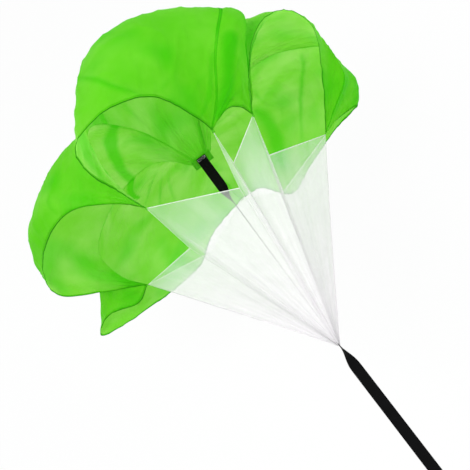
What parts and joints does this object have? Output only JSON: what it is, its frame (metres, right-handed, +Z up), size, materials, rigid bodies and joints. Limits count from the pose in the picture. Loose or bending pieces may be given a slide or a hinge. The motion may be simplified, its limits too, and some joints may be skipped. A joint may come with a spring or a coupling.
{
  "type": "speed parachute",
  "caption": "Lobed nylon drag canopy on a net cone, with a swivel tow strap that clips to a waist belt.",
  "frame": {"origin": "middle of the inner face of the waist belt's back, where it lies against the wearer", "axes": "+Y along the tow strap to the canopy's crown, +Z up, +X to the right of someone who looks along the strap towards the canopy"},
  "size_m": [1.1774, 1.732, 1.0399],
  "materials": {
    "canopy_nylon": "thin coated nylon with a slight sheen, lets light through",
    "net": "fine white polyester mesh, see-through",
    "webbing": "black polyester webbing, matt",
    "steel": "nickel plated, satin",
    "plastic": "moulded, fine matt grain"
  },
  "bodies": {
    "belt": {"belt_webbing": "webbing", "ring_keeper": "webbing", "buckle_socket": "plastic", "buckle_plug": "plastic"},
    "glide": {"belt_glide": "plastic"},
    "ring": {"tow_ring": "steel"},
    "hook": {"hook_body": "steel", "gate_pin": "steel", "swivel_pin": "steel"},
    "gate": {"hook_gate": "steel"},
    "chute": {"swivel_eye": "steel", "tow_strap": "webbing", "centre_strap": "webbing", "crown_patch": "canopy_nylon", "net_left": "net", "net_top": "net", "net_upper_right": "net", "net_right": "net", "net_bottom": "net", "net_lower_left": "net", "gore_left": "canopy_nylon", "gore_top": "canopy_nylon", "gore_upper_right": "canopy_nylon", "gore_right": "canopy_nylon", "gore_bottom": "canopy_nylon", "gore_lower_left": "canopy_nylon"}
  },
  "joints": [
    {"name": "ring_yaw", "type": "hinge", "parent": "belt", "child": "ring", "pos_m": [0, 0.0047, 0], "axis": [0, 0, 1], "range_deg": [-45, 45]},
    {"name": "hook_yaw", "type": "hinge", "parent": "ring", "child": "hook", "pos_m": [0, 0.0247, 0], "axis": [0, 0, 1], "range_deg": [-30, 30]},
    {"name": "gate_open", "type": "hinge", "parent": "hook", "child": "gate", "pos_m": [0.0105, 0.0489, 0], "axis": [0, 0, -1], "range_deg": [0, 24], "stiffness_Nm_per_rad": 0.05, "springref_deg": -17.19},
    {"name": "swivel", "type": "hinge", "parent": "hook", "child": "chute", "pos_m": [0, 0.0692, 0], "axis": [0, 1, 0], "continuous": true},
    {"name": "glide_slide", "type": "slide", "parent": "belt", "child": "glide", "axis": [1, 0, 0], "range_m": [-0.006, 0.006]}
  ]
}
